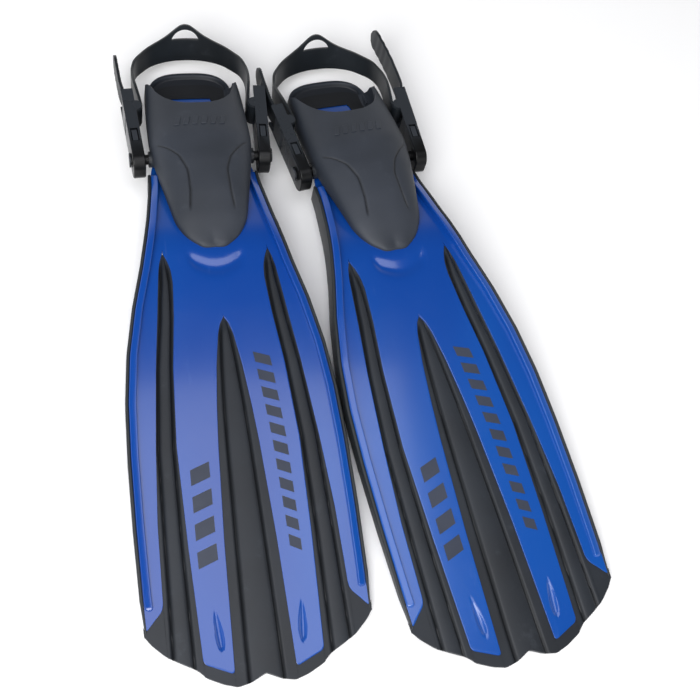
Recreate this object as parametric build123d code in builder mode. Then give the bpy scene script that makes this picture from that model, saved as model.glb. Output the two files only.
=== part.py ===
import math
import os

from build123d import *

os.makedirs("parts", exist_ok=True)

# Driving dimensions in millimetres. One fin is drawn on its own: x across, z up, the heel at y = 0
# and the tip of the blade at y = -640. A station s is a distance from the heel, so y = -s.
fin_spread = 141.0
fin_drop = -16.6
fin_yaw = 7.85
web = 3.2
rail_wide = 7.0
edge_wide = 3.0
wall = 4.0

# Height of the middle of the blade and of its foot plate, along the fin.
spine = [(12, 8.5), (60, 15.0), (120, 26.5), (180, 38.0), (230, 46.5), (290, 41.8), (350, 35.6)]
spine += [(430, 27.2), (500, 19.4), (560, 12.2), (610, 5.8), (642, 1.62)]

# Half width of the blade along the fin, then round the scalloped tip to the centre line.
sides = [(118, 43.0), (132, 51.5), (144, 54.0), (163, 55.0), (180, 57.2), (205, 60.8), (230, 65.4)]
sides += [(260, 71.8), (300, 82.0), (345, 90.6), (390, 95.4), (440, 97.4), (500, 98.0), (560, 97.4)]
sides += [(590, 95.8)]
tip = [(590, 95.8), (597, 91.5), (608, 80.5), (616.5, 66.0), (622, 56.0), (629, 49.0), (636, 35.0)]
tip += [(639.5, 23.5), (637, 12.0), (631, 0.0)]

# Edges of the flexible channels: inner edge of an inner panel, its outer edge, and the next panel.
centre_edge = [(312, 0.0), (330, 6.4), (360, 11.6), (400, 15.6), (433, 18.1), (521, 22.6), (632, 25.9)]
side_inner = [(244, 49.5), (258, 44.0), (275, 42.6), (310, 45.0), (360, 50.4), (433, 54.4), (521, 53.2)]
side_inner += [(600, 50.8)]
side_outer = [(244, 49.5), (256, 53.6), (275, 56.2), (310, 60.0), (360, 65.8), (433, 72.4), (500, 77.0)]
side_outer += [(566, 78.6), (600, 78.6)]

# Foot pocket stations: distance from the heel, half width, underside and top.
shoe = [(20, 45.0, 2.2, 56.0), (45, 48.6, 4.2, 59.0), (84, 50.2, 10.0, 66.0), (120, 50.4, 17.5, 72.0)]
shoe += [(150, 46.2, 24.0, 72.0), (185, 39.6, 32.0, 67.0), (212, 34.4, 38.0, 60.5), (232, 22.0, 42.0, 53.0)]
shoe += [(239, 12.0, 43.5, 50.0)]

# Buckle: post centre on the fin, its outward lean, and sizes along its own length a.
post_x, post_s, post_z = 62.0, 128.0, 38.0
lean = 3.5
buckle_t, buckle_h = 6.0, 14.5
bar_t, bar_a, bar_r = -6.5, 57.0, 3.2
lever_t, lever_a = 3.6, 46.0
strap_t, strap_h = 3.0, 24.0


def height(s):
    for (s0, z0), (s1, z1) in zip(spine, spine[1:]):
        if s <= s1:
            return z0 + (z1 - z0) * (s - s0) / (s1 - s0)
    return spine[-1][1]


def side_slab(low, high, half=125):
    """Solid bounded below and above by two curves of (station, height)."""
    with BuildPart() as slab:
        with BuildSketch(Plane.YZ):
            with BuildLine():
                Spline(*[(-s, z) for s, z in low])
                Line((-low[-1][0], low[-1][1]), (-high[-1][0], high[-1][1]))
                Spline(*[(-s, z) for s, z in reversed(high)])
                Line((-high[0][0], high[0][1]), (-low[0][0], low[0][1]))
            make_face()
        extrude(amount=half, both=True)
    return slab.part


def band_slab(stations, up, down):
    """Slab following the spine, up above it and down below it, each a list over the stations."""
    low = [(s, height(s) - d) for s, d in zip(stations, down)]
    high = [(s, height(s) + u) for s, u in zip(stations, up)]
    return side_slab(low, high)


def side_poly(points, half=125):
    with BuildPart() as slab:
        with BuildSketch(Plane.YZ):
            with BuildLine():
                Polyline(*[(-s, z) for s, z in points], close=True)
            make_face()
        extrude(amount=half, both=True)
    return slab.part


def plan_solid(outer, inner, tall=130):
    """Upright solid between two curves of (station, x) that share both ends or are joined by lines."""
    with BuildPart() as solid:
        with BuildSketch(Plane.XY.offset(-20)):
            with BuildLine():
                Spline(*[(x, -s) for s, x in outer])
                if abs(outer[-1][1] - inner[-1][1]) > 1e-6 or abs(outer[-1][0] - inner[-1][0]) > 1e-6:
                    Line((outer[-1][1], -outer[-1][0]), (inner[-1][1], -inner[-1][0]))
                Spline(*[(x, -s) for s, x in reversed(inner)])
                if abs(outer[0][1] - inner[0][1]) > 1e-6 or abs(outer[0][0] - inner[0][0]) > 1e-6:
                    Line((inner[0][1], -inner[0][0]), (outer[0][1], -outer[0][0]))
            make_face()
        extrude(amount=tall)
    return solid.part


def mirrored(solid):
    return solid.mirror(Plane.YZ)


def outline():
    """Upright solid of the whole blade plan, foot plate to scalloped tip."""
    with BuildPart() as solid:
        with BuildSketch(Plane.XY.offset(-20)):
            with BuildLine():
                Line((0, -14), (24, -14))
                ThreePointArc((24, -14), (33.5, -17.5), (38, -26))
                Line((38, -26), (43, -118))
                Spline(*[(x, -s) for s, x in sides])
                Spline(*[(x, -s) for s, x in tip])
                mirror(about=Plane.YZ)
            make_face()
        extrude(amount=130)
    return solid.part


def rubber_plan():
    """Upright solid of the three channels and the border round the tip."""
    centre = plan_solid(centre_edge, [(312, 0.0), (400, -0.01), (632, 0.0)])
    side = plan_solid(side_outer, side_inner)
    with BuildPart() as border:
        with BuildSketch(Plane.XY.offset(-20)):
            with BuildLine():
                Polyline((0, -632), (25.9, -630.5), (50.2, -619), (50.9, -596), (78.6, -590),
                         (78.6, -566), (96.4, -588.5), (110, -588.5), (110, -660), (0, -660), close=True)
            make_face()
        extrude(amount=130)
    half = centre + side + border.part
    return half + mirrored(half)


stations = [12, 60, 120, 180, 230, 290, 350, 430, 500, 560, 610, 642]
n = len(stations)
web_slab = band_slab(stations, [web / 2] * n, [web / 2] * n)
plan = outline()
soft_plan = rubber_plan()


def largest(solid):
    return max(solid.solids(), key=lambda one: one.volume)


def make_rail():
    """Raised blue ridge that stiffens one side of the blade, tall near the foot."""
    inner = [(s, x - edge_wide - rail_wide) for s, x in sides if s >= 144]
    outer = [(s, x - edge_wide) for s, x in sides if s >= 144]
    ridge = plan_solid(outer, inner)
    along = [144, 180, 230, 290, 350, 430, 500, 572]
    slab = band_slab(along, [7, 8.5, 8, 7, 6, 5, 4.4, 3.4], [14, 18, 19, 18, 15, 11, 7.5, 3.2])
    return ridge & slab


def make_edge():
    """Black rubber strip over the outside of one rail."""
    inner = [(s, x - edge_wide) for s, x in sides if s >= 144]
    outer = [(s, x + 15) for s, x in sides if s >= 144]
    strip = plan_solid(outer, inner) & plan
    along = [144, 180, 230, 290, 350, 430, 500, 560, 590]
    slab = band_slab(along, [6, 7.5, 7, 6, 5, 4, 3.4, 2.6, 1.8], [16, 20, 21, 20, 17, 13, 9.5, 5.5, 3.4])
    return largest(strip & slab)


def make_blade(edge):
    rail = make_rail()
    solid = (web_slab & plan) - soft_plan - edge - mirrored(edge)
    return largest(solid + rail + mirrored(rail))


def make_rubber(edge):
    """Channels and tip border in one moulding, with a raised ridge along each channel."""
    centre_ridge = plan_solid([(330, 0.6), (360, 6.0), (433, 10.0), (521, 12.2), (604, 14.1), (626, 14.6)],
                              [(330, 0.0), (360, -0.01), (433, 0.0), (521, -0.01), (604, 0.0), (626, 0.0)])
    mid = [(s, (a + b) / 2) for (s, a), (_, b) in zip(side_inner[2:7], side_outer[2:7])]
    wide = [2.2, 3.4, 4.6, 5.6, 6.8]
    side_ridge = plan_solid([(s, x + w) for (s, x), w in zip(mid, wide)] + [(606, 72.0)],
                            [(s, x - w) for (s, x), w in zip(mid, wide)] + [(606, 58.4)])
    slab = band_slab(stations[3:], [3.4] * (n - 3), [0] * (n - 3))
    ridges = (centre_ridge + side_ridge + mirrored(centre_ridge) + mirrored(side_ridge)) & slab & plan
    return largest((web_slab & plan & soft_plan) + ridges - edge - mirrored(edge))


def shoe_solid(shrink):
    """Lofted body of the foot pocket, or of the space inside it when shrunk by the wall."""
    with BuildPart() as body:
        for s, w, low, high in shoe:
            if shrink:
                low = height(s)
            if shrink and s > 220:
                continue
            half, mid, tall = w - shrink, (low + high - shrink) / 2, (high - shrink - low) / 2
            ring = []
            for k in range(14):
                t = 2 * math.pi * (k + 0.5) / 14
                across = math.copysign(abs(math.cos(t)) ** 0.72, math.cos(t))
                up = math.copysign(abs(math.sin(t)) ** 0.8, math.sin(t))
                ring.append((half * across, mid + tall * up))
            with BuildSketch(Plane.XZ.offset(s)):
                with BuildLine():
                    Spline(*ring, periodic=True)
                make_face()
        loft()
    return body.part


def make_posts():
    """Flanged studs on both sides of the foot pocket that the buckles turn on."""
    with BuildPart() as post:
        with BuildSketch(Plane.YZ.offset(post_x - 15.5)):
            with Locations((-post_s, post_z)):
                Circle(7.8)
        extrude(amount=5.2)
        with BuildSketch(Plane.YZ.offset(post_x - 12)):
            with Locations((-post_s, post_z)):
                Circle(5)
        extrude(amount=18.6)
        with BuildSketch(Plane.YZ.offset(post_x + 6.6)):
            with Locations((-post_s, post_z)):
                Circle(7)
        extrude(amount=1.8)
    return post.part


def make_pocket(blade, posts):
    opening = side_poly([(-40, -30), (16, -30), (22, 9), (33, 38), (40, 46.5), (84, 66.8), (92, 110), (-40, 110)])
    foot = shoe_solid(0) - shoe_solid(wall) - opening - blade
    return largest(foot - posts - mirrored(posts))


def make_heel(blade, pocket):
    """Heel plate with a raised rim behind the foot plate."""
    with BuildPart() as plate:
        with BuildSketch(Plane.XY.offset(-1)):
            with BuildLine():
                Spline((0, 1.5), (19, 0), (33, -6.5), (41.5, -17), (43.6, -30))
                Line((43.6, -30), (43.6, -38))
                Line((43.6, -38), (0, -38))
                mirror(about=Plane.YZ)
            make_face()
        extrude(amount=40)
        with BuildSketch(Plane.XY.offset(12.0)):
            with BuildLine():
                Spline((0, -4), (18, -5.5), (30, -11), (37, -20), (38.6, -30))
                Line((38.6, -30), (38.6, -60))
                Line((38.6, -60), (0, -60))
                mirror(about=Plane.YZ)
            make_face()
        extrude(amount=40, mode=Mode.SUBTRACT)
    under = side_poly([(-4, 0), (22, 0), (40, 3.2), (40, 21), (22, 18.4), (8, 16.4), (-4, 14.6)])
    return largest((plate.part & under) - blade - pocket)


def buckle_to_fin(solid, side):
    """Stand a buckle piece, drawn with its length along y, at its post on one side of the fin."""
    placed = solid.rotate(Axis.Z, -lean).translate((post_x, -post_s, post_z))
    return placed if side > 0 else mirrored(placed)


def block(t0, t1, a0, a1, h0, h1, mode=Mode.ADD):
    with Locations(((t0 + t1) / 2, (a0 + a1) / 2, (h0 + h1) / 2)):
        Box(t1 - t0, a1 - a0, h1 - h0, mode=mode)


def make_receptacle():
    """Female half: a rounded case with a mouth for the prongs and a notch for each tab."""
    with BuildPart() as case:
        block(-buckle_t, buckle_t, -16, 28, -15, 15)
        fillet(case.edges().filter_by(Axis.X).group_by(Axis.Y)[0], 11)
        fillet(case.edges().filter_by(Axis.Y), 1.2)
        block(-4.6, 4.6, 7, 30, -12.4, 12.4, Mode.SUBTRACT)
        block(-3.7, 3.7, 12, 30, -16, 16, Mode.SUBTRACT)
    return case.part


def bore_for_post(solid):
    """Cut the post hole square to the fin, not to the leaning case."""
    with BuildPart() as hole:
        with BuildSketch(Plane.YZ.offset(post_x - 20)):
            with Locations((-post_s, post_z)):
                Circle(5.08)
        extrude(amount=40)
        with BuildSketch(Plane.YZ.offset(post_x - 12)):
            with Locations((-post_s, post_z)):
                Circle(9.4)
        extrude(amount=6.3)
        with BuildSketch(Plane.YZ.offset(post_x + 5.4)):
            with Locations((-post_s, post_z)):
                Circle(7.4)
        extrude(amount=4)
    return solid - hole.part


def make_insert():
    """Male half: flange, guide tongue and two cheeks that carry the strap bar and the lever pin."""
    with BuildPart() as male:
        block(-buckle_t, buckle_t, 28.4, 40, -buckle_h, buckle_h)
        block(-2.6, 2.6, 10, 29, -3, 3)
        for sign in (1, -1):
            low, high = sorted((12.4 * sign, buckle_h * sign))
            block(-buckle_t, buckle_t, 39, 78, low, high)
            with Locations((bar_t, bar_a, (low + high) / 2)):
                Cylinder(5.6, high - low)
            low, high = sorted((6.6 * sign, 12.1 * sign))
            block(-2.9, 2.9, 28, 38.4, low, high, Mode.SUBTRACT)
        with Locations((bar_t, bar_a, 0)):
            Cylinder(bar_r, 40, mode=Mode.SUBTRACT)
        with Locations((lever_t, lever_a, 0)):
            Cylinder(1.2, 40, mode=Mode.SUBTRACT)
    return male.part


def make_bars():
    with BuildPart() as bar:
        with Locations((bar_t, bar_a, 0)):
            Cylinder(bar_r, 2 * buckle_h)
    return bar.part


def make_lever_pins():
    with BuildPart() as pin:
        with Locations((lever_t, lever_a, 0)):
            Cylinder(1.2, 2 * buckle_h)
    return pin.part


def make_lever():
    """Thumb lever that presses the strap against its bar."""
    with BuildPart() as lever:
        with Locations((lever_t, lever_a, 0)):
            Cylinder(2.2, 23.6)
        block(3.2, 5.9, 45.5, 64, -11.8, 11.8)
        with Locations((lever_t, lever_a, 0)):
            Cylinder(1.26, 40, mode=Mode.SUBTRACT)
    return lever.part


def make_tab(sign):
    """Sprung prong with the button that shows in the notch of the case."""
    with BuildPart() as tab:
        low, high = sorted((8.5 * sign, 11.5 * sign))
        block(-2.6, 2.6, 12, 37, low, high)
        low, high = sorted((11.0 * sign, 14.6 * sign))
        block(-2.6, 2.6, 13, 25.5, low, high)
    return tab.part


def fin_point(t, a):
    """Buckle point, thickness t and length a, in the plan of the fin."""
    c, q = math.cos(math.radians(lean)), math.sin(math.radians(lean))
    return (post_x + t * c + a * q, -post_s - t * q + a * c)


def ribbon(path, thick):
    """Both sides of a strip of even thickness along a path of points."""
    left, right = [], []
    for k, (x, y) in enumerate(path):
        (x0, y0), (x1, y1) = path[max(k - 1, 0)], path[min(k + 1, len(path) - 1)]
        size = math.hypot(x1 - x0, y1 - y0)
        nx, ny = -(y1 - y0) / size * thick / 2, (x1 - x0) / size * thick / 2
        left.append((x + nx, y + ny))
        right.append((x - nx, y - ny))
    return left, right


def strap_path(rear):
    """Centre line of half the strap: heel, bend, inner leg, turn round the bar, outer leg."""
    turn = bar_r + 0.35 + strap_t / 2
    path = [(-0.01, rear), (13, rear - 0.8), (26, rear - 4), (38, rear - 10.5), (48, rear - 20.5)]
    path += [(54.4, 0.85 * rear - 26), (57.8, 0.62 * rear - 31), (58.8, 0.4 * rear - 36), (58.2, 0.15 * rear - 41),
             (56.8, -47), fin_point(bar_t - turn, bar_a + 7)]
    for k in range(7):
        t = math.radians(180 + 30 * k)
        path.append(fin_point(bar_t + turn * math.cos(t), bar_a + turn * math.sin(t)))
    path += [fin_point(-0.6, 63), fin_point(1.6, 71)]
    return path


def make_strap(tail_b, tail_a):
    """Heel strap with a finger loop, turned round both bars, with a free tail at each side."""
    with BuildPart() as band:
        for level, rear in ((-2, 14.0), (72, 40.0)):
            left, right = ribbon(strap_path(rear), strap_t)
            with BuildSketch(Plane.XY.offset(level)):
                with BuildLine():
                    Spline(*left)
                    Line(left[-1], right[-1])
                    Spline(*reversed(right))
                    Line(right[0], left[0])
                make_face()
        loft(ruled=True)
    legs = side_poly([(160, 26), (45, 26), (22, 22.5), (0, 18), (-20, 14.6), (-80, 14), (-80, 90),
                      (-8, 90), (-7.5, 38), (0, 39.4), (10, 41.6), (22, 45), (45, 50), (160, 50)])
    with BuildPart() as gable:
        with BuildSketch(Plane.XZ.offset(60)):
            with BuildLine():
                Line((0, 0), (90, 0))
                Line((90, 0), (90, 60))
                Line((90, 60), (51, 60))
                Line((51, 60), (51, 37.4))
                Line((51, 37.4), (42, 37.4))
                Spline((42, 37.4), (34, 37.6), (27, 38.9), (20, 41.6), (14, 45.4), (7, 50.4), (0, 52.4),
                       tangents=[(-1, 0), (-1, 0)])
                mirror(about=Plane.YZ)
            make_face()
            with BuildLine():
                ThreePointArc((14.5, 37.6), (0, 47.8), (-14.5, 37.6))
                Line((-14.5, 37.6), (14.5, 37.6))
            make_face(mode=Mode.SUBTRACT)
        extrude(amount=-260)
    half = band.part & legs
    strap = half + mirrored(half)
    strap = strap & gable.part
    for side, (reach, tuck) in ((1, tail_b), (-1, tail_a)):
        ends = [fin_point(1.2, 69.6), fin_point(3.4, 78), fin_point(4.6, 90 if reach > 100 else 84)]
        if reach > 100:
            ends.append(fin_point(4.8 - 0.35 * tuck, (90 + reach) / 2))
        ends.append(fin_point(4.8 - tuck, reach))
        left, right = ribbon(ends, strap_t - 0.4)
        with BuildPart() as tail:
            with BuildSketch(Plane.XY.offset(post_z - strap_h / 2 + 0.5)):
                with BuildLine():
                    Spline(*left)
                    Line(left[-1], right[-1])
                    Spline(*reversed(right))
                    Line(right[0], left[0])
                make_face()
            extrude(amount=strap_h - 1)
        end = -fin_point(0, reach)[1]
        trim = side_poly([(90, 0), (90, 80), (end + 14, 80), (end + 14, 49.5), (end + 6, 48.4), (end + 1.5, 44),
                          (end, post_z), (end + 1.5, 32), (end + 6, 27.6), (end + 14, 26.5), (end + 14, 0)])
        piece = tail.part & trim
        strap = strap + (piece if side > 0 else mirrored(piece))
    return largest(strap)


def both(solid):
    return Compound(children=[buckle_to_fin(solid, 1), buckle_to_fin(solid, -1)])


def make_fin(tail_b, tail_a):
    edge = make_edge()
    posts = make_posts()
    blade = make_blade(edge)
    pocket = make_pocket(blade, posts)
    pieces = {
        "blade": blade,
        "channels": make_rubber(edge),
        "edge_l": mirrored(edge),
        "edge_r": edge,
        "pocket": pocket,
        "heel": make_heel(blade, pocket),
        "posts": Compound(children=[posts, mirrored(posts)]),
        "strap": make_strap(tail_b, tail_a),
        "bars": both(make_bars()),
        "lever_pins": both(make_lever_pins()),
    }
    for side, word in ((-1, "l"), (1, "r")):
        case = bore_for_post(buckle_to_fin(make_receptacle(), 1))
        pieces["receptacle_" + word] = case if side > 0 else mirrored(case)
        pieces["insert_" + word] = buckle_to_fin(make_insert(), side)
        pieces["lever_" + word] = buckle_to_fin(make_lever(), side)
        pieces["tab_top_" + word] = buckle_to_fin(make_tab(1), side)
        pieces["tab_low_" + word] = buckle_to_fin(make_tab(-1), side)
    return pieces


placed = {}
for name, solid in make_fin((92, 0), (131, 0)).items():
    placed["fin_a_" + name] = solid
for name, solid in make_fin((166, 9), (136, 3)).items():
    placed["fin_b_" + name] = solid.rotate(Axis.Z, fin_yaw).translate((fin_spread, fin_drop, 0))

boxes = [solid.bounding_box() for solid in placed.values()]
shift = (-(min(b.min.X for b in boxes) + max(b.max.X for b in boxes)) / 2,
         -(min(b.min.Y for b in boxes) + max(b.max.Y for b in boxes)) / 2,
         -min(b.min.Z for b in boxes))
print("shift", shift)
for name, solid in placed.items():
    final = solid.translate(shift)
    final.label = name
    export_step(final, "parts/" + name + ".step")
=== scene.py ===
# %% [markdown]
# # A pair of open-heel swim fins
# The engineering model comes first: every shape below is laid over it, in the same frame.
# +X runs across the fins, +Y from the blade tips to the heels, +Z up, all in metres.
# Fins are long, gently curved mouldings, so nearly every piece here is one formula over a grid.

# %% Load the engineering model
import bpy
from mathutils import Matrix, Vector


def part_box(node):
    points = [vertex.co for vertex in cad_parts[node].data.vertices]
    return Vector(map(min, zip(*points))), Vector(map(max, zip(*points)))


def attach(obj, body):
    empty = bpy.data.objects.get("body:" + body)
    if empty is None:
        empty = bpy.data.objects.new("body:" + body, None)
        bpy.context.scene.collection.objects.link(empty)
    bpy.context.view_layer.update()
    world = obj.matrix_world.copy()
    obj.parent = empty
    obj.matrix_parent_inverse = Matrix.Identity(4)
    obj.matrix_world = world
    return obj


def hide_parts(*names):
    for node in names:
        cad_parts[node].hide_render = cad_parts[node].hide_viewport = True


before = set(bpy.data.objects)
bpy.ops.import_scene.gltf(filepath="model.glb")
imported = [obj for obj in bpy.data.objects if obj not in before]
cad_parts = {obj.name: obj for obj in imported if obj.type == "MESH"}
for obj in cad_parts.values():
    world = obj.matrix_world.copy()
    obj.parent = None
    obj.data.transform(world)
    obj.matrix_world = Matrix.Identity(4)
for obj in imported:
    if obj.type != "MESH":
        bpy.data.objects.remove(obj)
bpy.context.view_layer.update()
import math
import bmesh
import bpy
import numpy as np
from mathutils import Matrix, Vector

# %% [markdown]
# ## One fin, drawn twice
# Both fins are the same moulding. Each is worked out in its own millimetres, with the heel at
# station 0 and the tip at station 640, then turned and carried to its place on the floor.

# %% Where each fin lies
blade_low, blade_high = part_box("fin_a_blade")
heel_low, heel_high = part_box("fin_a_heel")
home = np.array([(blade_low.x + blade_high.x) / 2, heel_high.y - 0.0015, 0.0])
FIN_B_YAW, FIN_B_SHIFT = math.radians(7.85), np.array([0.141, -0.0166, 0.0])
PLACES = {"fin_a": (0.0, home), "fin_b": (FIN_B_YAW, home + FIN_B_SHIFT)}


def lay_down(points, fin):
    """Turn fin points by the fin's yaw about z, scale millimetres to metres, add its place."""
    yaw, place = PLACES[fin]
    c, s = math.cos(yaw), math.sin(yaw)
    turn = np.array([[c, s, 0.0], [-s, c, 0.0], [0.0, 0.0, 1.0]])
    return points @ turn * 0.001 + place


# %% [markdown]
# ## Lines of the moulding
# A fin is lofted over a few guide lines: its spine seen from the side, its outline, and the edges
# of the soft channels. A table of stations, rounded off by averaging, gives each line.

# %% Guide lines
SPINE = [(12, 8.5), (60, 15.0), (120, 26.5), (180, 38.0), (230, 46.5), (290, 41.8), (350, 35.6),
         (430, 27.2), (500, 19.4), (560, 12.2), (610, 5.8), (642, 1.62)]
SIDES = [(14, 24.0), (18, 33.5), (26, 38.0), (118, 43.0), (132, 51.5), (144, 54.0), (163, 55.0), (180, 57.2),
         (205, 60.8), (230, 65.4), (260, 71.8), (300, 82.0), (345, 90.6), (390, 95.4), (440, 97.4),
         (500, 98.0), (560, 97.4), (590, 95.8)]
TIP = [(0, 631), (12, 637), (23.5, 639.5), (35, 636), (49, 629), (56, 622), (66, 616.5), (80.5, 608),
       (91.5, 597), (95.8, 590)]
CENTRE_EDGE = [(312, 0.0), (318, 3.6), (330, 7.0), (360, 11.6), (400, 15.6), (433, 18.1), (521, 22.6),
               (632, 25.9)]
SIDE_INNER = [(200, 45.5), (244, 49.5), (252, 46.0), (262, 43.4), (275, 42.6), (310, 45.0), (360, 50.4),
              (433, 54.4), (521, 53.2), (600, 50.8), (620, 50.2)]
SIDE_OUTER = [(200, 45.5), (244, 49.5), (252, 52.6), (262, 54.6), (275, 56.2), (310, 60.0), (360, 65.8),
              (433, 72.4), (500, 77.0), (566, 78.6), (600, 78.6)]
SPLIT = [(14, 16.0), (118, 28.0), (144, 36.0), (180, 41.5), (200, 45.5), (244, 49.5)]


def line(table, at, blunt=5.0):
    """Value of a guide line: its straight runs averaged over a window, which rounds every corner."""
    keys = np.array([k for k, _ in table], float)
    values = np.array([v for _, v in table], float)
    total = 0.0
    for step in np.linspace(-blunt, blunt, 7):
        total = total + np.interp(np.asarray(at, float) + step, keys, values)
    return total / 7


def spine(s):
    return line(SPINE, s, 16.0)


def ease(low, high, value):
    """Smooth step: 0 below low, 1 above high, 3t^2 - 2t^3 between."""
    t = np.clip((value - low) / (high - low), 0, 1)
    return t * t * (3 - 2 * t)


print("blade half width at station 440:", round(float(line(SIDES, 440)), 1), "mm")

# %% [markdown]
# ## Turning grids into pieces
# A moulded plate is two grids, its upper and its under side, sewn together round the edge. A rail
# or a strap is a ring of points carried along a path. Both end up in one closed mesh, so light
# and the later export see a real solid.

# %% Mesh helpers
def plate(top, under):
    """Closed shell from two grids of one shape: upper faces, lower faces turned over, four walls."""
    rows, cols = top.shape[:2]
    points = np.concatenate([top.reshape(-1, 3), under.reshape(-1, 3)])
    number = np.arange(rows * cols).reshape(rows, cols)
    below = number + rows * cols

    def quads(a, b, c, d):
        return np.stack([a, b, c, d], axis=-1).reshape(-1, 4)

    faces = [quads(number[:-1, :-1], number[1:, :-1], number[1:, 1:], number[:-1, 1:]),
             quads(below[:-1, :-1], below[:-1, 1:], below[1:, 1:], below[1:, :-1]),
             quads(number[0, :-1], number[0, 1:], below[0, 1:], below[0, :-1]),
             quads(number[-1, :-1], below[-1, :-1], below[-1, 1:], number[-1, 1:]),
             quads(number[:-1, 0], below[:-1, 0], below[1:, 0], number[1:, 0]),
             quads(number[:-1, -1], number[1:, -1], below[1:, -1], below[:-1, -1])]
    return points, np.concatenate(faces)


def sweep(rings):
    """Closed shell from rings[row, point, xyz]: skin between rings, and a fan over each end."""
    rows, count = rings.shape[:2]
    points = np.concatenate([rings.reshape(-1, 3), rings[0].mean(0)[None], rings[-1].mean(0)[None]])
    number = np.arange(rows * count).reshape(rows, count)
    after = np.roll(number, -1, axis=1)
    skin = np.stack([number[:-1], after[:-1], after[1:], number[1:]], axis=-1).reshape(-1, 4)
    first, last = rows * count, rows * count + 1
    start = np.stack([np.full(count, first), after[0], number[0], number[0]], axis=-1)
    end = np.stack([np.full(count, last), number[-1], after[-1], after[-1]], axis=-1)
    return points, np.concatenate([skin, start, end])


def flipped(shell):
    """The same shell on the other side of the fin: x changes sign and every face turns over."""
    points, faces = shell
    return points * np.array([-1.0, 1.0, 1.0]), faces[:, ::-1]


def piece(name, shells, fin, finish, body, nodes=(), crease=32.0, shade=None):
    """Put shells into one mesh, laid down with its fin, riding its body and replacing its nodes.
    shade, a function of the fin points, is stored on them as painted shade, which darkens finishes in
    grooves and in the heel dish."""
    offset, points, faces = 0, [], []
    for shell_points, shell_faces in shells:
        points.append(shell_points)
        faces.append(shell_faces + offset)
        offset += len(shell_points)
    places = lay_down(np.concatenate(points), fin)
    lists = [list(dict.fromkeys(face)) for face in np.concatenate(faces).tolist()]
    mesh = bpy.data.meshes.new(name)
    mesh.from_pydata(places.tolist(), [], lists)
    if shade is not None:
        layer = mesh.attributes.new("shade", "FLOAT", "POINT")
        layer.data.foreach_set("value", shade(np.concatenate(points)).astype(np.float32))
    mesh.polygons.foreach_set("use_smooth", np.ones(len(mesh.polygons), bool))
    mesh.set_sharp_from_angle(angle=math.radians(crease))
    mesh.materials.append(finish)
    thing = bpy.data.objects.new(name, mesh)
    bpy.context.scene.collection.objects.link(thing)
    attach(thing, body)
    if nodes:
        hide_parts(*nodes)
    print(name, len(lists), "faces")
    return thing


# %% [markdown]
# ## Writing shader sums
# A finish needs a little arithmetic on its nodes. Wrapping a socket in a class that knows +, - and
# * lets the sums below read like ordinary Python, and one method makes every other node.

# %% Node sums and the finish maker
class Sum:
    """A number inside a shader. Adding, subtracting, multiplying or dividing makes a Math node."""

    def __init__(self, finish, socket):
        self.finish, self.socket = finish, socket

    def join(self, operation, a, b):
        return Sum(self.finish, self.finish.node("Math", {"operation": operation}, {0: a, 1: b}).outputs[0])

    def __add__(self, other):
        return self.join("ADD", self, other)

    __radd__ = __add__

    def __mul__(self, other):
        return self.join("MULTIPLY", self, other)

    __rmul__ = __mul__

    def __sub__(self, other):
        return self.join("SUBTRACT", self, other)

    def __rsub__(self, other):
        return self.join("SUBTRACT", other, self)


class Finish:
    """A material under construction: its node tree, its surface shader and its coordinates."""

    def __init__(self, name, **constants):
        self.material = bpy.data.materials.new(name)
        self.material.use_nodes = True
        self.tree = self.material.node_tree
        self.shader = self.tree.nodes["Principled BSDF"]
        for socket, value in constants.items():
            self.shader.inputs[socket.replace("_", " ")].default_value = value
        self.place = self.node("TexCoord").outputs["Object"]

    def node(self, kind, settings=None, inputs=None):
        made = self.tree.nodes.new("ShaderNode" + kind)
        for key, value in (settings or {}).items():
            setattr(made, key, value)
        for key, value in (inputs or {}).items():
            self.feed(made.inputs[key], value)
        return made

    def feed(self, socket, value):
        if isinstance(value, Sum):
            value = value.socket
        if isinstance(value, bpy.types.NodeSocket):
            self.tree.links.new(value, socket)
        else:
            socket.default_value = value

    def noise(self, scale, detail=3.0, rough=0.55, stretch=None):
        """Cloudy number from 0 to 1 over the object's own coordinates."""
        place = self.place
        if stretch:
            place = self.node("Mapping", None, {"Vector": place, "Scale": stretch}).outputs[0]
        made = self.node("TexNoise", None, {"Vector": place, "Scale": scale, "Detail": detail,
                                            "Roughness": rough})
        return Sum(self, made.outputs["Fac"])

    def between(self, value, low, high):
        """0 below low, 1 above high, smooth between."""
        made = self.node("MapRange", {"interpolation_type": "SMOOTHSTEP"},
                         {"Value": value, "From Min": low, "From Max": high})
        return Sum(self, made.outputs[0])

    def mix(self, mask, a, b):
        made = self.node("Mix", {"data_type": "RGBA"}, {0: mask, 6: a, 7: b})
        return made.outputs[2]

    def bump(self, height, depth, strength=1.0):
        made = self.node("Bump", None, {"Height": height, "Distance": depth, "Strength": strength})
        self.feed(self.shader.inputs["Normal"], made.outputs[0])

    def wear(self):
        """Bright on worn corners: how far the surface turns outwards, from Pointiness."""
        return Sum(self, self.node("NewGeometry").outputs["Pointiness"])


def colour(r, g, b):
    """Screen colour from 0 to 255 turned to the linear light that a shader works in."""
    return tuple(((c / 255 + 0.055) / 1.055) ** 2.4 if c > 10 else c / 3294 for c in (r, g, b)) + (1.0,)


# %% [markdown]
# ## The finishes
# The blade is a glossy techno-polymer: strong colour, a clear skin with faint moulding flow, fine
# scuffs that only show in the shine. The soft rubbers are satin with a fine grain, the buckles a
# hard black plastic with a slight spark-eroded texture.

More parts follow.
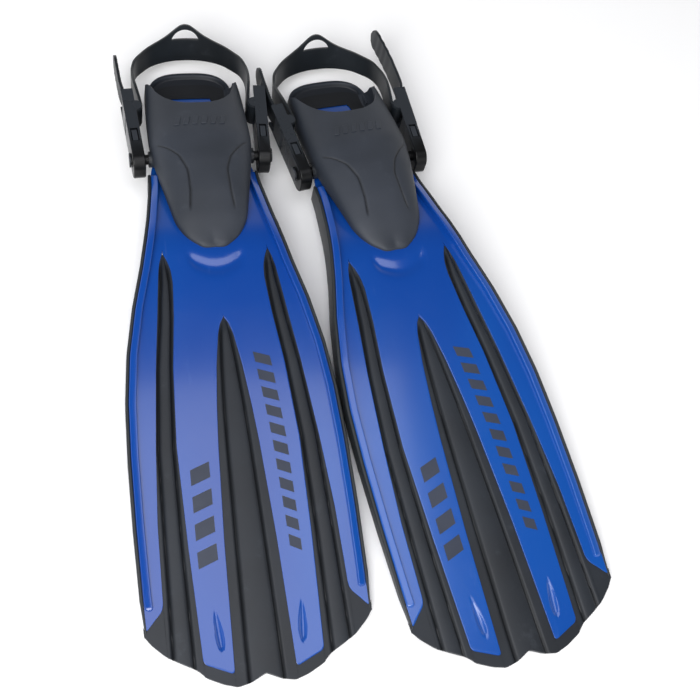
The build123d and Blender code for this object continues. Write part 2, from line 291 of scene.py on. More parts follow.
# %% Blue blade
def blade_blue():
    f = Finish("blade_blue", Roughness=0.2, Coat_Weight=0.5, Coat_Roughness=0.1, IOR=1.5)
    flow = f.noise(6.0, 2.0, 0.5, (1.0, 0.35, 1.0))
    haze = f.noise(38.0, 4.0)
    base = f.mix(f.between(flow, 0.35, 0.7), colour(8, 60, 140), colour(14, 74, 154))
    scuff = f.between(f.noise(120.0, 6.0, 0.7, (1.0, 0.12, 1.0)), 0.62, 0.72)
    f.feed(f.shader.inputs["Base Color"], f.mix(scuff * 0.05, base, colour(90, 120, 190)))
    f.feed(f.shader.inputs["Roughness"], 0.17 + haze * 0.08 + scuff * 0.06)
    f.bump(flow * 0.9 + haze * 0.1, 0.0004, 0.5)
    return f.material


# %% Satin rubbers
def rubber(name, dark, light, rough, grain=900.0, paints_shade=False):
    f = Finish(name, Roughness=rough, IOR=1.45)
    cloud = f.noise(14.0, 4.0)
    pores = f.noise(grain, 3.0, 0.7)
    dust = f.between(f.noise(55.0, 5.0, 0.65), 0.6, 0.78)
    base = f.mix(f.between(cloud, 0.3, 0.7), dark, light)
    base = f.mix(dust * 0.12, base, colour(88, 94, 103))
    if paints_shade:
        # painted shade: the shade attribute darkens the base colour towards near-black in the grooves and
        # the heel dish
        shade_paint_mask = Sum(f, f.node("Attribute", {"attribute_name": "shade"}).outputs["Fac"])
        base = f.mix(shade_paint_mask * 0.85, base, colour(12, 14, 17))
    f.feed(f.shader.inputs["Base Color"], base)
    f.feed(f.shader.inputs["Roughness"], rough - 0.06 + cloud * 0.1 + dust * 0.06)
    f.bump(pores * 0.7 + cloud * 0.3, 0.00012, 0.35)
    return f.material


# %% Hard black plastic
def hard_plastic(name, base_dark, base_light, rough):
    f = Finish(name, Roughness=rough, IOR=1.45, Specular_IOR_Level=0.28)
    grain = f.noise(1500.0, 2.0, 0.6)
    cloud = f.noise(30.0, 3.0)
    worn = f.between(f.wear(), 0.53, 0.6)
    base = f.mix(f.between(cloud, 0.35, 0.7), base_dark, base_light)
    f.feed(f.shader.inputs["Base Color"], f.mix(worn * 0.35, base, colour(70, 75, 82)))
    f.feed(f.shader.inputs["Roughness"], rough + cloud * 0.08 - worn * 0.06)
    f.bump(grain * 0.6 + cloud * 0.4, 0.00008, 0.4)
    return f.material


BLUE = blade_blue()
CHANNEL = rubber("channel_rubber", colour(20, 24, 30), colour(27, 32, 39), 0.5, paints_shade=True)
POCKET = rubber("pocket_rubber", colour(33, 38, 46), colour(41, 46, 55), 0.58, paints_shade=True)
# darker copy of the pocket rubber for the liner: painted shade inside the pocket
INSIDE_PAINTED_SHADE = rubber("inside_rubber_painted_shade", colour(18, 20, 24), colour(25, 28, 33), 0.6)
EDGE = rubber("edge_rubber", colour(26, 30, 33), colour(34, 38, 42), 0.5)
STRAP = rubber("strap_rubber", colour(15, 19, 23), colour(24, 29, 34), 0.42)
CASE = hard_plastic("buckle_black", colour(8, 9, 10), colour(14, 15, 17), 0.3)
# The tabs' plastic is a lighter copy of the buckle black: a painted highlight on the tabs.
TAB_PAINTED_HIGHLIGHT = hard_plastic("tab_black_painted_highlight", colour(22, 24, 27), colour(30, 32, 36), 0.34)
PRINT = rubber("printed_grey", colour(40, 46, 60), colour(48, 54, 68), 0.5)

# %% [markdown]
# ## The blade
# On the real fin the blade is one injection moulding of stiff blue plastic: foot plate, side rails
# and four long panels, with the soft channels moulded between them afterwards. It could be carved
# from a block, but a sheet laid over the spine line keeps the thickness even, as a mould does.

# %% Blade surface
WEB = 3.2
DROP_X, DROP_FROM, DROP_LONG = 37.0, 575.0, 35.0


def blade_top(x, s):
    """Spine plus half the web and a slight crown, less a dish by the toe and two drops by the tip.
    A drop is as wide as t sqrt(1 - t) along its length t, so it is pointed above and round below."""
    side = np.abs(x)
    crown = 0.8 * (1 - (side / line(SIDES, s)) ** 2)
    t = np.clip((s - DROP_FROM) / DROP_LONG, 0, 1)
    half = 9.2 * t * np.sqrt(1 - t) + 1e-6
    middle = DROP_X - 3.0 * t
    drop = np.clip(1 - ((side - middle) / half) ** 2, 0, 1) * np.clip(half / 3.5, 0, 1)
    toe = np.exp(-((s - 262 + side ** 2 / 55) / 7) ** 2) * ease(30, 20, side)
    return spine(s) + WEB / 2 + crown - 1.8 * drop - 1.6 * toe


def corner_round(u, width):
    """How far an edge falls back at u from 0 to 1 so that both its corners are quarter circles."""
    near = np.clip(1 - np.minimum(u, 1 - u) / width, 0, 1)
    return 1 - np.sqrt(1 - near ** 2)


def panel_sheet(inner, outer, end, columns=44, rows=(60, 170)):
    """Grid between two guide lines: rows from the heel to station 244, then on to a slanted end."""
    u = np.linspace(0, 1, columns)[None, :]
    last = end(u)
    s = np.concatenate([np.linspace(14, 244, rows[0])[:, None] + 0 * u,
                        244 + (last - 244) * np.linspace(0, 1, rows[1])[1:, None]])
    x = inner(s) + (outer(s) - inner(s)) * u
    return np.stack([x, -s, blade_top(x, s)], axis=-1)


def centre_side(s):
    return line(CENTRE_EDGE, s, 3.0) * ease(310, 318, s)


def inner_side(s):
    return np.where(s < 244, line(SPLIT, s), line(SIDE_INNER, s, 3.0))


def outer_side(s):
    return np.where(s < 244, line(SPLIT, s), line(SIDE_OUTER, s, 3.0))


def blade_rim(s):
    return line(SIDES, s, 3.0) - 3.0 + 2.2 * ease(566, 580, s)


def inner_end(u):
    return 629.5 - 11.0 * u - 3.2 * corner_round(u, 0.14)


def outer_end(u):
    return 570.5 + 18.0 * u - 5.0 * corner_round(u, 0.2)


def as_faces(grid):
    """Points and quads of one open grid, facing up where x grows along columns and y falls."""
    rows, cols = grid.shape[:2]
    number = np.arange(rows * cols).reshape(rows, cols)
    quads = np.stack([number[:-1, :-1], number[1:, :-1], number[1:, 1:], number[:-1, 1:]], axis=-1)
    return grid.reshape(-1, 3), quads.reshape(-1, 4)


inner_panel = as_faces(panel_sheet(centre_side, inner_side, inner_end))
outer_panel = as_faces(panel_sheet(outer_side, blade_rim, outer_end))
print("blade sheet", len(inner_panel[1]) + len(outer_panel[1]), "quads a side")


# %% Thickness and softened corners
def weld(thing, distance=0.00003):
    """Join points that meet, so two halves become one skin."""
    made = bmesh.new()
    made.from_mesh(thing.data)
    bmesh.ops.remove_doubles(made, verts=made.verts, dist=distance)
    bmesh.ops.dissolve_degenerate(made, edges=made.edges, dist=0.000001)
    made.to_mesh(thing.data)
    made.free()


def thicken(thing, thick, offset=-1.0):
    made = thing.modifiers.new("thickness", "SOLIDIFY")
    made.thickness, made.offset, made.use_even_offset = thick * 0.001, offset, True


def soften(thing, width, segments=2, angle=40.0):
    made = thing.modifiers.new("soft_corners", "BEVEL")
    made.width, made.segments, made.limit_method = width * 0.001, segments, "ANGLE"
    made.angle_limit, made.use_clamp_overlap, made.harden_normals = math.radians(angle), True, False


for fin in PLACES:
    sheets = [inner_panel, flipped(inner_panel), outer_panel, flipped(outer_panel)]
    blade = piece(fin + "_blade_skin", sheets, fin, BLUE, fin, [fin + "_blade"])
    weld(blade)
    thicken(blade, WEB)
    soften(blade, 0.5)

# %% [markdown]
# ## Side rails
# A rail is a blue rib with a rounded back that stiffens the blade. It rises most beside the foot
# and sinks towards the tip. It is drawn as one rounded profile carried down the blade's edge.

# %% Rails
RAIL_UP = [(144, 7), (180, 8.5), (230, 8), (290, 7), (350, 6), (430, 5), (500, 4.4), (572, 3.4)]
RAIL_DOWN = [(144, 14), (180, 18), (230, 19), (290, 18), (350, 15), (430, 11), (500, 7.5), (572, 3.2)]
EDGE_UP = [(144, 6), (180, 7.5), (230, 7), (290, 6), (350, 5), (430, 4), (500, 3.4), (560, 2.6), (590, 1.8)]
EDGE_DOWN = [(144, 16), (180, 20), (230, 21), (290, 20), (350, 17), (430, 13), (500, 9.5), (560, 5.5),
             (590, 3.4)]


def rounded_bar(half_x, low, high, radius, count=8):
    """Rounded rectangle as a closed ring: four corner centres, a quarter circle round each."""
    angle = np.linspace(0, math.pi / 2, count)
    turns = np.concatenate([angle + k * math.pi / 2 for k in range(4)])
    sign_x = np.repeat([1, -1, -1, 1], count)
    sign_z = np.repeat([1, 1, -1, -1], count)
    across = (half_x - radius)[:, None] * sign_x + radius[:, None] * np.cos(turns)
    middle, tall = (low + high) / 2, (high - low) / 2
    up = middle[:, None] + (tall - radius)[:, None] * sign_z + radius[:, None] * np.sin(turns)
    return across, up


def strip(centre, half_x, up, down, radius, stations, draft=0.0, tilt=0.0):
    """Rounded bar carried down the blade: centre line x, heights above and below the spine.
    draft widens it downwards, tilt slopes its top outwards."""
    s = np.asarray(stations, float)
    end = np.minimum(s - s[0], s[-1] - s)
    shut = np.sqrt(1 - (1 - np.clip(end / 3.0, 0.04, 1)) ** 2)
    half = half_x(s) * shut
    high, low = spine(s) + up(s) * (0.35 + 0.65 * shut), spine(s) - down(s)
    across, z = rounded_bar(half, low, high, np.minimum(radius, half * 0.98))
    depth = np.clip((high[:, None] - z) / (high - low)[:, None], 0, 1)
    x = centre(s)[:, None] + across * (1 + draft * depth)
    z = z - tilt * across * (1 - depth)
    return sweep(np.stack([x, -s[:, None] + 0 * x, z], axis=-1))


def ends_dense(first, last, count):
    """Stations closer together at both ends, where the bar rounds off."""
    return first + (last - first) * (0.5 - 0.5 * np.cos(np.linspace(0, math.pi, count)))


rail = strip(lambda s: line(SIDES, s, 3.0) - 6.6, lambda s: 3.4 + 0 * s, lambda s: line(RAIL_UP, s),
             lambda s: line(RAIL_DOWN, s), 1.3, ends_dense(146, 571, 190), draft=0.05, tilt=0.24)
border = strip(lambda s: line(SIDES, s, 3.0) - 1.55, lambda s: np.interp(s, [560, 588], [1.5, 0.7]),
               lambda s: line(EDGE_UP, s), lambda s: line(EDGE_DOWN, s), 1.1, ends_dense(144.4, 589, 190))

for fin in PLACES:
    rails = piece(fin + "_rails", [rail, flipped(rail)], fin, BLUE, fin)
    for side, shell in (("r", border), ("l", flipped(border))):
        edge = piece(fin + "_edge_strip_" + side, [shell], fin, EDGE, fin, [fin + "_edge_" + side])

# %% [markdown]
# ## Soft channels and the tip border
# Between the panels the blade is bonded to soft rubber, which lets it scoop like a spoon. Each
# channel has flat borders, two narrow grooves and a raised rib between them, and the grooves run
# on to the scalloped tip. One height formula gives all of it; four grids a side carry it.

# %% Channel surface
CENTRE_GROOVE = [(312, 2.0), (330, 4.2), (360, 6.6), (400, 8.8), (432, 10.0), (521, 12.2), (604, 14.0),
                 (640, 14.4)]
SIDE_MIDDLE = [(244, 49.8), (275, 49.6), (310, 52.4), (360, 58.2), (433, 63.6), (521, 65.3), (620, 66.0)]
SIDE_GROOVE = [(244, 1.0), (262, 3.0), (290, 4.4), (360, 5.6), (433, 6.4), (521, 6.9), (620, 8.2)]


def tip_end(x):
    return line([(k, v) for k, v in TIP], np.abs(x), 2.0)


def valley(offset, groove):
    """Bell curve over a groove: 1 at its bottom, about 0 two millimetres from it."""
    return np.exp(-((np.abs(offset) - groove) / 1.35) ** 2)


def rib(offset, groove):
    """A rounded rib as wide as its grooves are apart, and a narrow valley at each groove."""
    inside = np.clip(1 - (offset / groove) ** 2, 0, 1)
    return 1.5 * np.sqrt(inside) - 1.7 * valley(offset, groove)


def channel_top(x, s):
    """Blade top less half a millimetre, plus the ribs of the centre and side channels."""
    side = np.abs(x)
    level = spine(s) + WEB / 2 - 0.75 + 0.5 * (1 - (side / line(SIDES, s)) ** 2)
    centre = rib(side, line(CENTRE_GROOVE, s, 3.0)) * ease(314, 330, s)
    edge = rib(side - line(SIDE_MIDDLE, s, 3.0), line(SIDE_GROOVE, s, 3.0)) * ease(246, 264, s)
    return level + centre + edge


def channel_shade(points):
    """Painted shade: dark where a groove is deepest, the larger of the two valleys at each point."""
    side, s = np.abs(points[:, 0]), -points[:, 1]
    centre = valley(side, line(CENTRE_GROOVE, s, 3.0)) * ease(314, 330, s)
    edge = valley(side - line(SIDE_MIDDLE, s, 3.0), line(SIDE_GROOVE, s, 3.0)) * ease(246, 264, s)
    return np.maximum(centre, edge)


def channel_shell(inner, outer, start, columns, rows, over=0.25):
    """Closed strip from a start station to the tip, between two guide lines."""
    u = np.linspace(0, 1, columns)[None, :]
    reach = inner(np.array(618.0)) + (outer(np.array(618.0)) - inner(np.array(618.0))) * u
    last = tip_end(reach)
    first = start(u)
    s = first + (last - first) * np.linspace(0, 1, rows)[:, None]
    low, high = inner(s) - over, outer(s) + over
    x = low + (high - low) * u
    top = np.stack([x, -s, channel_top(x, s)], axis=-1)
    thin = 0.75 + 0.85 * ease(0, 14, last - s)
    under = np.stack([x, -s, spine(s) - thin], axis=-1)
    return plate(top, under)


def full_rim(s):
    return np.minimum(line(SIDES, s, 3.0), 97.6)


centre_strip = channel_shell(lambda s: -centre_side(s), centre_side, lambda u: 312.5 + 0 * u, 81, 200)
side_strip = channel_shell(inner_side, outer_side, lambda u: 245.5 + 0 * u, 49, 200)
inner_tip = channel_shell(centre_side, inner_side, lambda u: inner_end(u) - 1.2, 50, 16)
outer_tip = channel_shell(outer_side, full_rim, lambda u: outer_end(u) - 1.2, 50, 24)

for fin in PLACES:
    shells = [centre_strip, side_strip, flipped(side_strip), inner_tip, flipped(inner_tip), outer_tip,
              flipped(outer_tip)]
    rubbers = piece(fin + "_soft_channels", shells, fin, CHANNEL, fin, [fin + "_channels"], crease=50,
                    shade=channel_shade)

# %% [markdown]
# ## Foot pocket
# The pocket is a soft rubber shoe moulded round the foot plate, open over the instep and behind
# the heel. Its skin is a ring that changes size along the foot. Lines run from the rim of the
# opening down to the sole, like the ribs of a fan, so the rim comes out as one clean edge.

# %% Pocket surface
SHOE = [(20, 45, 2.2, 56), (45, 48.6, 4.2, 59), (84, 50.2, 10, 66), (120, 50.4, 17.5, 72),
        (150, 46.2, 24, 72), (185, 39.6, 32, 67), (212, 34.4, 38, 60.5), (228, 26.0, 41.3, 55.0),
        (236, 18.0, 43, 52), (240.5, 9.0, 44.4, 50.4), (242.2, 0.5, 46.4, 48.2)]
SHOE_END = 242.6
SQUARE_X, SQUARE_Z = 0.72, 0.8
INSTEP_LEFT = [(128, 46.0), (131, 43.0), (136, 36.0), (148, 25.0), (165, 18.0), (186, 17.6), (206, 19.6)]
INSTEP_RIGHT = [(128, 45.0), (131, 42.0), (138, 34.6), (151, 24.4), (165, 19.8), (189, 20.8), (206, 22.8)]


def shoe_size(s):
    """Half width, low and high of the shoe's ring at station s, from the table."""
    keys = [row[0] for row in SHOE]
    columns = [list(zip(keys, [row[k] for row in SHOE])) for k in (1, 2, 3)]
    return [line(column, s, blunt) for column, blunt in zip(columns, (6.0, 5.0, 5.0))]


def shoe(s, turn):
    """Ring of the shoe at station s: a rounded square, its width shut by a quarter circle at the toe."""
    half, low, high = shoe_size(s)
    shut = np.clip((SHOE_END - s) / 8, 0.0, 1.0)
    half = half * np.sqrt(shut * (2 - shut))
    c, q = np.cos(turn), np.sin(turn)
    x = half * np.sign(c) * np.abs(c) ** SQUARE_X
    z = (low + high) / 2 + (high - low) / 2 * np.sign(q) * np.abs(q) ** SQUARE_Z
    return x, z


def instep_marks(x, s):
    """Two curved grooves down the instep, each the valley of a bell curve across its guide line."""
    left = np.abs(x + line(INSTEP_LEFT, s, 3.0))
    right = np.abs(x - line(INSTEP_RIGHT, s, 3.0))
    near = np.minimum(left, right)
    return np.exp(-(near / 1.0) ** 2) * ease(129, 132, s) * ease(208, 200, s)


def pocket_shade(points):
    """Painted shade: dark in the two instep grooves."""
    return instep_marks(points[:, 0], -points[:, 1]) * (points[:, 2] > 45)


def shoe_point(s, turn):
    """A point of the outer skin, with the toe pushed out into two knuckles and the grooves sunk in."""
    x, z = shoe(s, turn)
    toe = ease(222, 240, s)
    knuckles = 2.2 * np.exp(-((np.abs(x) - 11.5) / 5.5) ** 2) - 2.0 * np.exp(-(x / 4.0) ** 2)
    up = ease(0.2, 0.9, np.sin(turn))
    z = z - 1.1 * instep_marks(x, s) * up 
    return np.stack([x, -(s + toe * knuckles), z], axis=-1)


EDGE_Z, EDGE_S = [-30, 9, 38, 46.5, 66.8, 110], [16, 22, 33, 40, 84, 92]


def rim_station(turn):
    """Station where the opening's edge crosses each line of the shoe: the first that is past the edge."""
    tries = np.linspace(14, 100, 861)[:, None]
    _, z = shoe(tries, turn[None, :])
    past = tries - np.interp(z, EDGE_Z, EDGE_S) > 0
    found = tries[np.argmax(past, axis=0), 0]
    return np.convolve(np.concatenate([found[-4:], found, found[:4]]), np.ones(9) / 9, "valid")


def shoe_shell(columns=(116, 56), rows=190):
    """Skin of the shoe: one line for each turn of the ring, from the rim of the opening to the toe."""
    turn = np.concatenate([np.linspace(0.15, math.pi - 0.15, columns[0]),
                           np.linspace(math.pi - 0.15, 2 * math.pi + 0.15, columns[1] + 2)[1:-1]])
    first = rim_station(turn)[None, :]
    way = np.linspace(0, 1, rows)[:, None]
    way = way * (1.25 - 0.25 * way)
    s = first + (SHOE_END - first) * np.minimum(way, 1)
    grid = shoe_point(s, turn[None, :] + 0 * s)
    number = np.arange(grid.shape[0] * grid.shape[1]).reshape(grid.shape[:2])
    after = np.roll(number, -1, axis=1)
    quads = np.stack([number[:-1], after[:-1], after[1:], number[1:]], axis=-1)
    return grid.reshape(-1, 3), quads.reshape(-1, 4)


pocket_skin = shoe_shell()
print("pocket", len(pocket_skin[1]), "quads")
for fin in PLACES:
    pocket = piece(fin + "_foot_pocket", [pocket_skin], fin, POCKET, fin, [fin + "_pocket"], crease=60,
                   shade=pocket_shade)
    weld(pocket)
    thicken(pocket, 3.8)
    soften(pocket, 1.3, 3, 50)

# %% [markdown]
# ## Raised bars on the instep
# A moulded mark stands on the real instep. A row of plain slanted bars takes its place. Each is a
# patch of the shoe's own surface, lifted a little.

# %% Instep bars
def instep_height(x, s):
    """Top of the shoe over x: the ring's rounded square solved for z."""
    half, low, high = shoe_size(s)
    c = np.clip(np.abs(x) / half, 0, 1) ** (1 / SQUARE_X)
    return (low + high) / 2 + (high - low) / 2 * np.sqrt(1 - c ** 2) ** SQUARE_Z


def instep_bar(middle):
    u = np.linspace(-1, 1, 8)[None, :]
    s = np.linspace(101, 112, 10)[:, None] + 0 * u
    x = middle + 2.6 * u - 0.28 * (s - 106)
    z = instep_height(x, s)
    return plate(np.stack([x, -s, z + 0.75], axis=-1), np.stack([x, -s, z - 1.0], axis=-1))


instep_row = [instep_bar(middle) for middle in np.linspace(-22, 22, 6)]
for fin in PLACES:
    raised = piece(fin + "_instep_bars", instep_row, fin, POCKET, fin)
    soften(raised, 0.35, 2)

# %% [markdown]
# ## Footbed liner
# The heel stands on a thin rubber sheet that hides the blue foot plate, except for a patch under
# the instep rim. Its rubber is a darker copy of the pocket rubber: painted shade inside the pocket.
# It follows the plate a little above it, so one offset of the blade surface is enough.

# %% Footbed liner
def liner_shell():
    """Sheet from the heel plate to past the instep rim, its front edge a shallow arc round the patch."""
    u = np.linspace(-1, 1, 60)[None, :]
    way = np.linspace(0, 1, 40)[:, None]
    x = 38.5 * u + 0 * way
    front = 33.5 + 40.0 * ease(20.0, 29.0, np.abs(x))
    s = 15 + 10 * u ** 4 + (front - 15 - 10 * u ** 4) * way
    skin = np.maximum(blade_top(x, s), 13.2)
    return plate(np.stack([x, -s, skin + 1.1], axis=-1), np.stack([x, -s, skin - 0.6], axis=-1))


liner = liner_shell()
for fin in PLACES:
    sheet = piece(fin + "_footbed_liner", [liner], fin, INSIDE_PAINTED_SHADE, fin)

# %% [markdown]
# ## Heel plate
# Behind the foot plate the sole ends in a shallow rubber dish with a raised rim that cups the heel.
# Its outline is a superellipse, and its height depends only on how far in from that outline it is.

# %% Heel plate
HEEL_HALF, HEEL_FRONT = 43.4, -40.0


def heel_rear(x):
    """Rear edge: 39.5 mm deep times (1 - (x / half)^3)^0.385."""
    return -38 + 39.3 * np.clip(1 - (np.abs(x) / HEEL_HALF) ** 3, 0, 1) ** 0.385


def heel_shell():
    across = HEEL_HALF * np.sin(np.linspace(-math.pi / 2, math.pi / 2, 120))[None, :]
    along = np.linspace(0, 1, 70)[:, None]
    rear = heel_rear(across)
    y = rear + (HEEL_FRONT - rear) * along ** 1.25
    x = across + 0 * y
    inset = np.minimum(rear - y, HEEL_HALF - np.abs(x))
    rim = np.interp(-y, [-4, 8, 22, 40], [14.4, 16.2, 18.2, 20.6])
    high = 12.2 + (rim - 12.2) * ease(7.0, 3.2, inset) - 0.5 * ease(1.6, 0.0, inset)
    low = np.interp(-y, [22, 40], [0.05, 3.2])
    return plate(np.stack([x, y, high], axis=-1), np.stack([x, y, low], axis=-1))


def heel_shade(points):
    """Darker down on the floor of the dish, as light hardly gets there."""
    return 0.55 * ease(15.5, 12.6, points[:, 2]) * (points[:, 2] > 11)


heel_cup = heel_shell()
for fin in PLACES:
    heel = piece(fin + "_heel_plate", [heel_cup], fin, POCKET, fin, [fin + "_heel"], crease=40,
                 shade=heel_shade)
    weld(heel)
    soften(heel, 0.7, 2, 50)

# %% [markdown]
# ## Heel strap
# One strip of rubber runs from tail to tail: in through one buckle, round its bar, back past the
# heel with a finger loop, and out through the other. A smooth curve through a few points gives its
# way in plan. Two bands, one under the loop hole and one over it, close up where there is no hole.

# %% Strap
LEAN = math.radians(3.5)
BAR_T, BAR_A, BAR_TURN = -6.5, 57.0, 5.05


GABLE = [(0, 52.8), (3.5, 52.4), (7, 50.5), (14, 45.4), (20, 41.6), (27, 38.9), (34, 37.6), (42, 37.4),
         (52, 37.4)]
LOOP_LOW, LOOP_HALF, ARCH_CENTRE, ARCH_RADIUS = 37.6, 14.5, 32.4, 15.4


def beside(t, a):
    """Buckle point, t outwards from the post and a towards the heel, in the plan of the fin."""
    return 62 + t * math.cos(LEAN) + a * math.sin(LEAN), -128 - t * math.sin(LEAN) + a * math.cos(LEAN)


def half_strap(reach, tuck, inset):
    """Rows of x, y low, y high, z low, z high from the heel to the end of one tail.
    tuck bends the tail's end inwards, inset moves the whole tail inwards, both in millimetres."""
    rows = [(0, 14, 40, 14.6, 37.4), (13, 13.2, 39.2, 14.7, 37.4), (26, 10, 36, 15.0, 37.4),
            (38, 3.5, 29.5, 16.2, 37.4), (48, -6.5, 19.5, 17.9, 37.9), (54.4, -14.1, 8, 19.7, 39.6),
            (57.8, -22.3, -6.2, 21.6, 41.4),
            (58.8, -30.4, -20, 23.3, 44.6), (58.2, -38.9, -35, 25.2, 48.3), (56.8, -47, -47, 26, 50)]
    ways = [(BAR_T - BAR_TURN, 64)]
    ways += [(BAR_T + BAR_TURN * math.cos(math.radians(a)), BAR_A + BAR_TURN * math.sin(math.radians(a)))
             for a in range(180, 361, 30)]
    ways += [(-0.6, 63), (1.4, 71), (3.2 - 0.5 * inset, 79), (4.6 - 0.85 * inset, 90 if reach > 100 else 84)]
    if reach > 100:
        ways += [(4.8 - 0.35 * tuck - inset, (90 + reach) / 2)]
    ways += [(4.8 - tuck - inset, reach)]
    for k, way in enumerate(ways):
        x, y = beside(*way)
        rows.append((x, y, y, 26.2, 49.8))
    return np.array(rows, float)


def through(points, steps):
    """Catmull-Rom curve: each span is a cubic set by the points before and after it."""
    padded = np.concatenate([2 * points[:1] - points[1:2], points, 2 * points[-1:] - points[-2:-1]])
    t = np.linspace(0, 1, steps, endpoint=False)[None, :, None]
    a, b, c, d = (padded[k:len(padded) - 3 + k][:, None, :] for k in range(4))
    spans = b + 0.5 * t * (c - a + t * (2 * a - 5 * b + 4 * c - d + t * (3 * (b - c) + d - a)))
    return np.concatenate([spans.reshape(-1, points.shape[1]), points[-1:]])


def strap_shells(right_tail, left_tail):
    """Both bands of one strap: its rows made smooth, blunt tails, a gable and an arched loop hole."""
    right_half, left_half = half_strap(*right_tail), half_strap(*left_tail)
    left_half[:, 0] *= -1
    rows = through(np.concatenate([left_half[:0:-1], right_half]), 16)
    x, y_low, y_high, z_low, z_high = rows.T
    step = np.hypot(np.diff(x), np.diff((y_low + y_high) / 2))
    way = np.concatenate([[0], np.cumsum(step)])
    end = np.minimum(way, way[-1] - way)
    blunt = np.sqrt(1 - (1 - np.clip(end / 11.0, 0.0, 1)) ** 2)
    middle = (z_low + z_high) / 2
    open_by = 0.06 + 0.94 * blunt
    z_low, z_high = middle - (middle - z_low) * open_by, middle + (z_high - middle) * open_by
    heel_side = y_high > 12
    z_high = np.where(heel_side, np.maximum(z_high, line(GABLE, np.abs(x), 2.0)), z_high)
    parting = z_low + 0.85 * (z_high - z_low)
    hole_low = np.where(heel_side, np.minimum(LOOP_LOW, parting), parting)
    arch = ARCH_CENTRE + np.sqrt(np.clip(ARCH_RADIUS ** 2 - x ** 2, 0, None))
    hole_high = np.where(heel_side & (np.abs(x) < LOOP_HALF), np.maximum(arch, hole_low), hole_low)
    ahead = np.stack([np.gradient(x), np.gradient((y_low + y_high) / 2)])
    ahead /= np.hypot(*ahead)
    tails = ease(58, 50, end) * ease(3, 9, end)
    ribs = 0.25 * np.sin(way * 2 * math.pi / 3.1) * tails

    def band(low, high, count):
        h = np.linspace(0, 1, count)[None, :]
        z = low[:, None] + (high - low)[:, None] * h
        f = (z + 2) / 74
        y = y_low[:, None] + (y_high - y_low)[:, None] * f
        px = x[:, None] + (ahead[1] * ribs)[:, None] + 0 * z
        py = y - (ahead[0] * ribs)[:, None]
        return as_faces(np.stack([px, py, z], axis=-1))

    return [band(z_low, hole_low, 12), band(hole_high, z_high, 9)], way[-1]


TAILS = {"fin_a": ((92, 0, 0), (131, 0, 0)), "fin_b": ((166, 9, 0), (136, 3, 2.0))}
for fin in PLACES:
    bands, length = strap_shells(*TAILS[fin])
    strap = piece(fin + "_heel_strap", bands, fin, STRAP, fin + "_harness", [fin + "_strap"], crease=50)
    weld(strap, 0.00008)
    thicken(strap, 2.7, 0.0)
    soften(strap, 0.75, 2, 50)
    print(fin, "strap length", round(float(length)), "mm")

# %% [markdown]
# ## Printed bars
# The real panels carry printed lettering. Plain slanted bars of the same size stand in for it.

# %% Bars on the panels
def bar_patch(middle_x, s_from, s_to, half, slant):
    """Thin slanted bar laid on the blade, as a closed grid 0.2 mm proud."""
    u = np.linspace(-1, 1, 6)[None, :]
    s = np.linspace(s_from, s_to, 10)[:, None] + 0 * u
    x = middle_x(s) + half * u
    s = s + slant * u
    skin = blade_top(x, s)
    return plate(np.stack([x, -s, skin + 0.18], axis=-1), np.stack([x, -s, skin - 0.4], axis=-1))


def inner_middle(s):
    return (centre_side(s) + inner_side(s)) / 2


bars = []
for k in range(11):
    bars.append(bar_patch(inner_middle, 352 + 17 * k, 362 + 17 * k, 7.5 - 0.25 * k, 2.6))
for k in range(4):
    bars.append(flipped(bar_patch(inner_middle, 452 + 24 * k, 466 + 24 * k, 8.5, 3.2)))
for fin in PLACES:
    marks = piece(fin + "_panel_bars", bars, fin, PRINT, fin)

# %% [markdown]
# ## Buckles
# The buckles are true to size in the engineering model, so those parts stay and get their finish.

# %% Finishes of the kept parts
for name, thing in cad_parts.items():
    word = name.split("_", 2)[2]
    if word.startswith(("receptacle", "insert", "lever", "tab", "bars", "posts")):
        # tabs take the lighter copy of the black plastic, a painted highlight
        finish = TAB_PAINTED_HIGHLIGHT if word.startswith("tab") else CASE
        for slot in range(len(thing.data.materials)):
            thing.data.materials[slot] = finish

# %% [markdown]
# ## Floor, light and camera
# A pale floor and a large soft light overhead, as in a small studio.

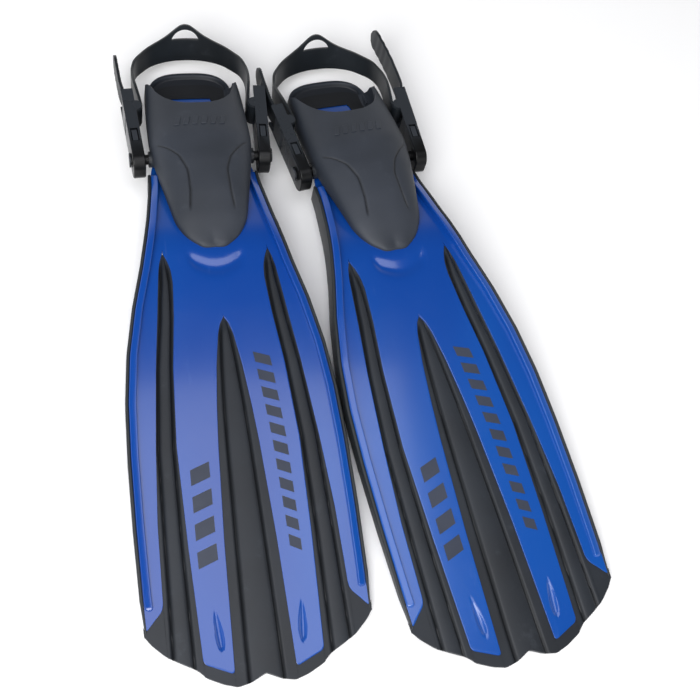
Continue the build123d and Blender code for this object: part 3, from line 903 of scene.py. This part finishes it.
# %% Floor, light and camera
floor_mesh = bpy.data.meshes.new("floor")
floor_mesh.from_pydata([(-4, -4, 0), (4, -4, 0), (4, 4, 0), (-4, 4, 0)], [], [(0, 1, 2, 3)])
floor = bpy.data.objects.new("floor", floor_mesh)
bpy.context.scene.collection.objects.link(floor)
pale = Finish("floor_pale", Roughness=0.6)
paper = pale.mix(pale.noise(2.0), (0.95, 0.95, 0.95, 1), (0.97, 0.97, 0.97, 1))
pale.feed(pale.shader.inputs["Base Color"], paper)
floor_mesh.materials.append(pale.material)


def lamp(name, size, power, at, towards, tint=(1, 1, 1)):
    light = bpy.data.lights.new(name, "AREA")
    light.shape, light.size, light.size_y = "RECTANGLE", size[0], size[1]
    light.energy, light.color = power, tint
    thing = bpy.data.objects.new(name, light)
    bpy.context.scene.collection.objects.link(thing)
    away = Vector(at) - Vector(towards)
    thing.matrix_world = Matrix.Translation(at) @ away.to_track_quat("Z", "Y").to_matrix().to_4x4()
    return thing


lamp("softbox", (1.2, 1.05), 10.5, (-0.10, -0.17, 1.6), (-0.10, -0.17, 0.0), (0.95, 0.95, 1.0))
lamp("key", (1.8, 1.8), 80, (-1.0, -1.7, 1.8), (0.0, 0.0, 0.0))
world = bpy.data.worlds.new("studio")
bpy.context.scene.world = world
world.use_nodes = True
tree = world.node_tree
place = tree.nodes.new("ShaderNodeTexCoord")
split = tree.nodes.new("ShaderNodeSeparateXYZ")
fade = tree.nodes.new("ShaderNodeMapRange")
fade.interpolation_type = "SMOOTHSTEP"
for socket, value in (("From Min", 0.3), ("From Max", 0.75), ("To Min", 1.1), ("To Max", 0.06)):
    fade.inputs[socket].default_value = value
tree.links.new(place.outputs["Generated"], split.inputs[0])
tree.links.new(split.outputs["Z"], fade.inputs["Value"])
tree.links.new(fade.outputs[0], tree.nodes["Background"].inputs["Strength"])
tree.nodes["Background"].inputs["Color"].default_value = (1, 1, 1, 1)
bpy.context.scene.view_settings.view_transform = "Standard"

right = np.array([0.97348006, -0.16689943, 0.15646454])
up = np.array([0.07295611, 0.87470699, 0.47912951])
back = -np.array([0.21682707, 0.45500798, -0.86368615])
eye = np.array([-0.236166, -0.548198, 0.991712])
camera_data = bpy.data.cameras.new("camera")
camera_data.lens, camera_data.sensor_width = 61.45, 36
camera = bpy.data.objects.new("camera", camera_data)
bpy.context.scene.collection.objects.link(camera)
camera.matrix_world = Matrix([[right[i], up[i], back[i], eye[i]] for i in range(3)] + [[0, 0, 0, 1]])
bpy.context.scene.camera = camera
